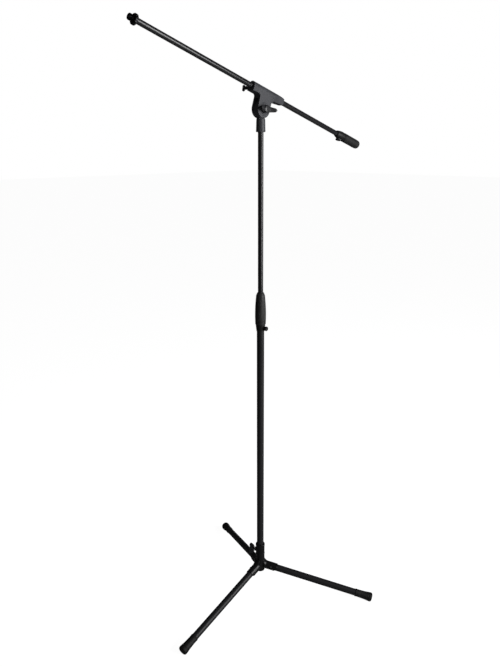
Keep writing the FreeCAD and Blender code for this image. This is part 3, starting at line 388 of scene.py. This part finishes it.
def add_piece(name, shape, stands_for, sharp=32):
    """Show a shape in place of CAD nodes, on the body and with the finish of the first of them."""
    mesh = bpy.data.meshes.new(name)
    bmesh.ops.recalc_face_normals(shape, faces=shape.faces)
    for face in shape.faces:
        face.smooth = True
    for edge in shape.edges:
        edge.smooth = len(edge.link_faces) != 2 or edge.calc_face_angle(0) < math.radians(sharp)
    shape.to_mesh(mesh)
    piece = bpy.data.objects.new(name, mesh)
    bpy.context.collection.objects.link(piece)
    look = SLOTS[stands_for[0]]
    mesh.materials.append(LOOKS[look])
    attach(piece, BODIES[stands_for[0]])
    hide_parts(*stands_for)
    return piece


def moulding(name, shapes, stands_for, voxel, passes=3, keep=0.35):
    """One moulded skin over several overlapping shapes, with its edges and corners softened."""
    mesh = bpy.data.meshes.new(name)
    joined(shapes).to_mesh(mesh)
    rough = bpy.data.objects.new(name + "_rough", mesh)
    bpy.context.collection.objects.link(rough)
    remesh = rough.modifiers.new("skin", "REMESH")
    remesh.mode = "VOXEL"
    remesh.voxel_size = voxel * MM
    soften = rough.modifiers.new("soften", "SMOOTH")
    soften.factor = 0.5
    soften.iterations = passes
    fewer = rough.modifiers.new("fewer", "DECIMATE")
    fewer.ratio = keep
    bpy.context.view_layer.update()
    graph = bpy.context.evaluated_depsgraph_get()
    skin = bmesh.new()
    skin.from_mesh(bpy.data.meshes.new_from_object(rough.evaluated_get(graph)))
    bpy.data.objects.remove(rough)
    return add_piece(name, skin, stands_for, 180)


# ---------------------------------------------------------------------------------------------
# Base: hub, leg knuckles, tubes' ends and feet
# ---------------------------------------------------------------------------------------------
def make_hub():
    """The hub's moulding, with a rim round the collar's mouth and a band at its foot."""
    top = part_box("base_hub")[1].z / MM
    bore = 11.6
    rim = [(bore, top - 9, 0), (15.6, top - 9, 0.6), (15.6, top - 1, 1), (bore, top - 1, 0)]
    band = [(bore, top - 40, 0), (15.5, top - 40, 0.6), (15.5, top - 37, 0.6), (bore, top - 37, 0)]
    shapes = [node_shape("base_hub")] + [placed(lathe(ring), Matrix()) for ring in (rim, band)]
    moulding("hub_moulding", shapes, ["base_hub"], 0.5, 6, 0.2)


def make_knuckles():
    for number in (1, 2, 3):
        name = f"leg_{number}_knuckle"
        moulding(name + "_moulding", [node_shape(name)], [name], 0.6, 3, 0.25)


def make_feet():
    """Rubber boots with a rolled mouth, a waist and two ribs above the flared sole."""
    for number in (1, 2, 3):
        name = f"leg_{number}_foot"
        matrix = leg_frame(number)
        low, high = reach(name, matrix)
        start, end, wide = low.x, high.x, high.y
        tube = 11.27  # radius of the leg's tube, with a hair of room
        corners = [
            (tube, start, 0.3),
            (tube + 1.1, start, 0.5),
            (tube + 1.5, start + 1.5, 0.8),
            (tube + 1.5, start + 3.5, 0.6),
            (tube + 1.0, start + 4.2, 0.4),
            (tube + 1.1, start + 16, 6),
            (tube + 1.9, start + 34, 10),
            (wide - 1.1, end - 17, 1.2),
            (wide - 1.1, end - 15.4, 0.4),
            (wide - 0.5, end - 14.8, 0.4),
            (wide - 0.4, end - 12.6, 0.4),
            (wide - 0.9, end - 12, 0.3),
            (wide - 0.8, end - 10.6, 0.3),
            (wide - 0.1, end - 10, 0.4),
            (wide, end - 2.5, 2.3),
            (wide - 2.5, end, 1.2),
            (0.01, end, 0),
            (0.01, end - 16.5, 0),
            (tube, end - 16.5, 0),
        ]
        boot = cut_below(placed(lathe(corners, 96), matrix @ ALONG_X), 0)
        add_piece(f"foot_{number}_boot", boot, [name])


def wing(side, root, tip, sweep, high, thick):
    """One wing of a knob: it leaves the hub along x and leans outward, away from the clamp.

    sweep, high and thick are each a (root, tip) pair: the lean and the half sizes.
    """
    sections = []
    count = 9
    for i in range(count):
        t = i / (count - 1)
        x = root + (tip - root) * t
        lean = sweep[0] + (sweep[1] - sweep[0]) * t**1.25
        end = math.sqrt(max(1 - max((t - 0.8) / 0.2, 0) ** 2, 0.02))
        half_high = (high[0] + (high[1] - high[0]) * t**0.8) * end
        half_thick = (thick[0] + (thick[1] - thick[0]) * t) * (0.35 + 0.65 * end)
        slope = Vector((tip - root, sweep[1] - sweep[0], 0)).normalized()
        across = Vector((-slope.y * side, slope.x, 0))
        sections.append(((side * x, lean, 0), across, (0, 0, 1), half_thick, half_high))
    return loft(sections)


def make_pivot_knob():
    """Butterfly knob on the tilt bolt: a domed hub and two wings swept away from the clamp."""
    matrix = PIVOT @ spin(PIVOT_KNOB_TURN, "Y")
    low, high = reach("pivot_wing_knob", matrix)
    base, tips = low.y, high.y
    cap = base + 13.7
    hub = lathe(
        [
            (7.1, base, 0),
            (10.6, base, 0.8),
            (11, base + 4, 2),
            (9.6, cap - 1, 2.5),
            (5, cap, 1),
            (0.01, cap, 0),
            (0.01, cap - 3, 0),
            (7.1, cap - 3, 0),
        ]
    )
    shapes = [placed(hub, matrix @ ALONG_Y)]
    for side in (1, -1):
        blade = wing(side, 4, high.x, (base + 6, tips - 2.6), (9.4, 5), (3.6, 2.4))
        shapes.append(placed(blade, matrix))
    moulding("pivot_knob_moulding", shapes, ["pivot_wing_knob"], 0.4, 3, 0.4)


def make_base_knob():
    """Wing knob on the base screw: the node's own outline softened, round a waisted hub."""
    matrix = screw_frame("base_screw_turn") @ spin(BASE_KNOB_TURN, "X")
    low, high = reach("base_wing_knob", matrix)
    hub = lathe(
        [
            (3.05, low.x, 0),
            (6, low.x, 0.6),
            (6.4, low.x + 5, 2),
            (5.4, high.x - 4.6, 1.5),
            (3.05, high.x - 4.3, 0),
        ]
    )
    shapes = [node_shape("base_wing_knob"), placed(hub, matrix @ ALONG_X)]
    moulding("base_knob_moulding", shapes, ["base_wing_knob"], 0.4, 8, 0.4)


def flutes(count, depth, low=-1e9, high=1e9, fade=4):
    """Wave of shallow flutes along a turned piece, between two heights."""

    def wave(angle, radius, height):
        inside = min(max(min(height - low, high - height) / fade, 0), 1)
        return -depth * inside * (0.5 + 0.5 * math.cos(count * angle)) ** 1.5

    return wave


def make_clutch_knob():
    matrix = screw_frame("clutch_screw_turn")
    low, high = reach("clutch_screw_knob", matrix)
    wide = high.y
    corners = [
        (2.55, low.x, 0),
        (wide - 2, low.x, 0.6),
        (wide - 0.1, low.x + 1, 0.6),
        (wide, high.x - 2.4, 1),
        (wide - 2.6, high.x, 1.2),
        (0.01, high.x, 0),
        (0.01, high.x - 3, 0),
        (2.55, high.x - 3, 0),
    ]
    knob = lathe(corners, 108, flutes(18, 0.7, low.x + 0.6, high.x - 0.8, 1))
    add_piece("clutch_knob_ribbed", placed(knob, matrix @ ALONG_X), ["clutch_screw_knob"])


def make_grip():
    """Barrel-shaped twist grip: fluted between two rings, with a shoulder at its top."""
    low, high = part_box("height_grip")
    start, end = low.z / MM, high.z / MM
    shoulder = end - 9
    barrel = []
    count = 14
    for i in range(count + 1):
        t = i / count
        radius = 16.2 + (13.5 - 16.2) * t + 7.2 * t * (1 - t)
        height = start + 1 + (shoulder - start - 1) * t
        barrel.append((radius, height, 0))
        if i in (1, count - 1):
            barrel += [(radius - 0.45, height + 0.4, 0), (radius - 0.45, height + 1.4, 0)]
            barrel.append((radius - 0.05, height + 1.8, 0))
    corners = [
        (13.45, start, 0),
        (15.8, start, 0.3),
        *barrel,
        (12.9, shoulder + 1.6, 1),
        (10.3, end - 1, 0.6),
        (9.3, end, 0.4),
        (8.6, end, 0),
        (8.6, end - 25, 0),
        (13.45, end - 44, 0),
    ]
    wave = flutes(26, 0.45, start + 9, shoulder - 7, 5)
    add_piece("grip_fluted", placed(lathe(corners, 208, wave), Matrix()), ["height_grip"], 50)


# ---------------------------------------------------------------------------------------------
# Head: clamp, socket and lock screw
# ---------------------------------------------------------------------------------------------
def make_clamp():
    """The clamp's moulding, with a raised ring round the tilt bolt on each cheek."""
    cheek, face = 9, 13.9  # from the middle to inside a cheek, and to the ring's face
    near = [(13, 0, 0), (17, 0, 0), (16.4, face, 0.8), (13.2, face, 0.8)]
    far = [(9, 0, 0), (12.6, 0, 0), (12, face, 0.8), (9.2, face, 0.8)]
    shapes = [node_shape("boom_clamp")]
    for ring, way in ((near, ALONG_Y), (far, spin(90, "X"))):
        shapes.append(placed(cut_below(lathe(ring), cheek), PIVOT @ way))
    moulding("clamp_moulding", shapes, ["boom_clamp"], 0.6, 4, 0.35)


def make_socket():
    """The socket's moulding, with a bead round its lower mouth."""
    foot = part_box("head_socket")[0].z / MM
    bead = [(8.3, foot, 0), (13.5, foot + 1, 0.8), (13.6, foot + 5, 0.8), (8.3, foot + 7, 0)]
    shapes = [node_shape("head_socket"), placed(lathe(bead), Matrix())]
    moulding("socket_moulding", shapes, ["head_socket"], 0.5, 3, 0.35)


def make_lock_knob():
    """Tee knob of the boom lock: a rounded bar on a short neck."""
    square = BOOM.to_3x3() @ UP
    joint = joints["boom_lock_turn"]
    matrix = frame_at(joint["pos_m"], joint["axis"], square) @ spin(LOCK_KNOB_TURN, "X")
    low, high = reach("lock_screw_knob", matrix)
    sections = []
    count = 9
    middle = high.x - 4
    for i in range(count):
        t = 2 * i / (count - 1) - 1
        end = math.sqrt(max(1 - max((abs(t) - 0.72) / 0.28, 0) ** 2, 0.03))
        wide = 3.3 + 0.5 * abs(t)
        sections.append(((middle, 0, high.z * t), (1, 0, 0), (0, 1, 0), 3.9 * end, wide * end))
    bar = loft(sections)
    neck = lathe([(3.05, low.x, 0), (4.9, low.x, 0.5), (4.6, high.x - 7, 2), (3.05, high.x - 6, 0)])
    shapes = [placed(bar, matrix), placed(neck, matrix @ ALONG_X)]
    moulding("lock_knob_moulding", shapes, ["lock_screw_knob"], 0.3, 3, 0.4)


# ---------------------------------------------------------------------------------------------
# Boom: microphone end and counterweight
# ---------------------------------------------------------------------------------------------
def make_adapter():
    """Adapter with the standard microphone thread cut on it."""
    low, high = reach("thread_adapter", BOOM)
    start, end, wide = low.x, high.x, high.y
    bore = 4.85
    step = THREAD_PITCH / 8
    count = int((end - start - 1.4) / step)
    outside = [(wide, start + 0.7 + step * i, 0) for i in range(count + 1)]
    corners = [(bore, start, 0), (wide - 0.9, start, 0), (wide - 0.7, start + 0.6, 0), *outside]
    corners += [(wide - 0.7, end - 0.5, 0), (wide - 1.1, end, 0)]
    corners += [(5.5, end, 0), (bore, end - 0.7, 0)]

    def thread(angle, radius, height):
        if radius < wide - 0.01:
            return 0
        turn = (height / THREAD_PITCH - angle / (2 * math.pi)) % 1
        groove = min(max(abs(turn - 0.5) * 2.6 - 0.15, 0), 1)
        ends = max(0, 1.1 - min(end - height, height - start) / 1.2)
        return -0.62 * max(groove, min(ends, 1))

    shape = lathe(corners, 72, thread)
    add_piece("adapter_threaded", placed(shape, BOOM @ ALONG_X), ["thread_adapter"], 60)


def make_ring():
    """Lock ring with finger scallops and a turned face."""
    low, high = reach("lock_ring", BOOM)
    start, end, wide = low.x, high.x, high.y
    corners = [
        (4.85, start, 0.2),
        (wide - 1.4, start, 0.4),
        (wide, start + 1.2, 0.5),
        (wide, end - 1.2, 0.5),
        (wide - 1.4, end, 0.4),
        (10.2, end, 0.2),
        (9.8, end - 0.5, 0.2),
        (6.2, end - 0.5, 0.2),
        (5.6, end, 0.2),
        (4.85, end, 0.2),
    ]

    def scallops(angle, radius, height):
        if radius < wide - 2:
            return 0
        return -1.0 * max(0, math.cos(12 * angle)) ** 1.5

    shape = lathe(corners, 144, scallops)
    add_piece("lock_ring_scalloped", placed(shape, BOOM @ ALONG_X), ["lock_ring"])


def make_weight():
    """Vinyl jacket with a rolled edge and a domed end, tapered collar and thumb screw."""
    matrix = BOOM @ spin(180, "Z")
    low, high = reach("counterweight_jacket", matrix)
    start, end, wide = low.x, high.x, high.y
    corners = [
        (12.46, start, 0.2),
        (wide - 0.2, start, 0.5),
        (wide, start + 2.6, 0.5),
        (wide - 0.5, start + 3.2, 0.3),
        (wide - 0.5, start + 4, 0.3),
        (wide, start + 4.6, 0.4),
        (wide - 0.2, end - 11, 3),
        (wide - 0.9, end - 5.5, 5),
        (wide - 5, end - 0.6, 5),
        (0.01, end, 0),
        (0.01, end - 4, 0),
        (8.4, end - 5, 0),
        (12.46, end - 9, 0),
    ]
    jacket = placed(lathe(corners, 96), matrix @ ALONG_X)
    add_piece("weight_jacket_skin", jacket, ["counterweight_jacket"])
    collar = [node_shape("counterweight_collar")]
    moulding("weight_collar_moulding", collar, ["counterweight_collar"], 0.45, 4, 0.35)

    joint = joints["counterweight_screw_turn"]
    downward = frame_at(joint["pos_m"], joint["axis"], boom_way)
    low, high = reach("counterweight_knob", downward)
    wide = high.y
    corners = [
        (2.55, low.x, 0),
        (wide - 1.2, low.x, 0.5),
        (wide, low.x + 1, 0.5),
        (wide, high.x - 1.4, 1),
        (wide - 1.8, high.x, 1),
        (wide - 3, high.x - 0.5, 0.5),
        (0.01, high.x - 0.5, 0),
        (0.01, high.x - 2, 0),
        (2.55, high.x - 2, 0),
    ]
    knob = lathe(corners, 120, flutes(20, 0.6, low.x + 0.5, high.x - 0.7, 0.8))
    add_piece("weight_knob_ribbed", placed(knob, downward @ ALONG_X), ["counterweight_knob"])


make_hub()
make_knuckles()
make_feet()
make_base_knob()
make_clutch_knob()
make_grip()
make_clamp()
make_socket()
make_pivot_knob()
make_lock_knob()
make_adapter()
make_ring()
make_weight()


# ---------------------------------------------------------------------------------------------
# Stage
# ---------------------------------------------------------------------------------------------
CAMERA_AZIMUTH = 44.95  # where it stands round the post, from +X
CAMERA_DISTANCE = 1.85  # from the post, in metres
CAMERA_HEIGHT = 1.4995
CAMERA_HEADING = -134.04  # of its view, from +X
CAMERA_DIP = 16.705  # degrees below the horizon
CAMERA_ROLL = -0.223
CAMERA_SENSOR = 36  # millimetres, on the picture's longer side
IMAGE_HEIGHT = 667
CAMERA_LENS = 621.2 * CAMERA_SENSOR / IMAGE_HEIGHT
AMBIENT = 0.035
FLOOR_GLOW = 0.96


def paper():
    """White paper, which glows to the camera alone, so that the stand's shadows stay faint."""
    m = Nodes("floor_paper")
    m.colour(m.mix(m.ramp(m.noise(3, 3), 0.3, 0.7), (0.38, 0.38, 0.38), (0.37, 0.37, 0.37)))
    m.settings(Roughness=0.9, Emission_Color=(1, 1, 1, 1))
    glow = m.ramp(m.new("ShaderNodeLightPath").outputs["Is Camera Ray"], 0, 1, 0, FLOOR_GLOW)
    m.link(glow, m.shader.inputs["Emission Strength"])
    return m.material


def make_stage():
    bpy.ops.mesh.primitive_plane_add(size=60)
    floor = bpy.context.object
    floor.name = "floor"
    floor.data.materials.append(paper())


def area_light(name, place, target, size, power):
    data = bpy.data.lights.new(name, "AREA")
    data.shape = "RECTANGLE"
    data.size, data.size_y = size
    data.energy = power
    light = bpy.data.objects.new(name, data)
    bpy.context.collection.objects.link(light)
    light.location = place
    light.rotation_euler = (Vector(target) - Vector(place)).to_track_quat("-Z", "Y").to_euler()


def make_camera():
    data = bpy.data.cameras.new("camera")
    data.lens = CAMERA_LENS
    data.sensor_width = CAMERA_SENSOR
    data.clip_end = 100
    camera = bpy.data.objects.new("camera", data)
    bpy.context.collection.objects.link(camera)
    place = math.radians(CAMERA_AZIMUTH)
    east, north = math.cos(place), math.sin(place)
    where = Vector((CAMERA_DISTANCE * east, CAMERA_DISTANCE * north, CAMERA_HEIGHT))
    aim = spin(CAMERA_HEADING - 90, "Z") @ spin(90 - CAMERA_DIP, "X") @ spin(CAMERA_ROLL, "Z")
    camera.matrix_world = Matrix.Translation(where) @ aim
    bpy.context.scene.camera = camera


def make_world():
    world = bpy.data.worlds.new("studio")
    bpy.context.scene.world = world
    world.use_nodes = True
    tree = world.node_tree
    lit = tree.nodes["Background"]
    lit.inputs["Color"].default_value = (1, 1, 1, 1)
    lit.inputs["Strength"].default_value = AMBIENT
    seen = tree.nodes.new("ShaderNodeBackground")
    seen.inputs["Color"].default_value = (1, 1, 1, 1)
    path = tree.nodes.new("ShaderNodeLightPath")
    mix = tree.nodes.new("ShaderNodeMixShader")
    tree.links.new(path.outputs["Is Camera Ray"], mix.inputs[0])
    tree.links.new(lit.outputs[0], mix.inputs[1])
    tree.links.new(seen.outputs[0], mix.inputs[2])
    tree.links.new(mix.outputs[0], tree.nodes["World Output"].inputs["Surface"])


make_stage()
make_camera()
make_world()
area_light("key", (-1.03, 2.82, 1.43), (0, 0, 1.43), (1.4, 1.9), 82)
area_light("fill", (2.6, 1.0, 2.2), (0, 0, 0.8), (1.0, 1.6), 3)
scene = bpy.context.scene
scene.view_settings.view_transform = "Standard"
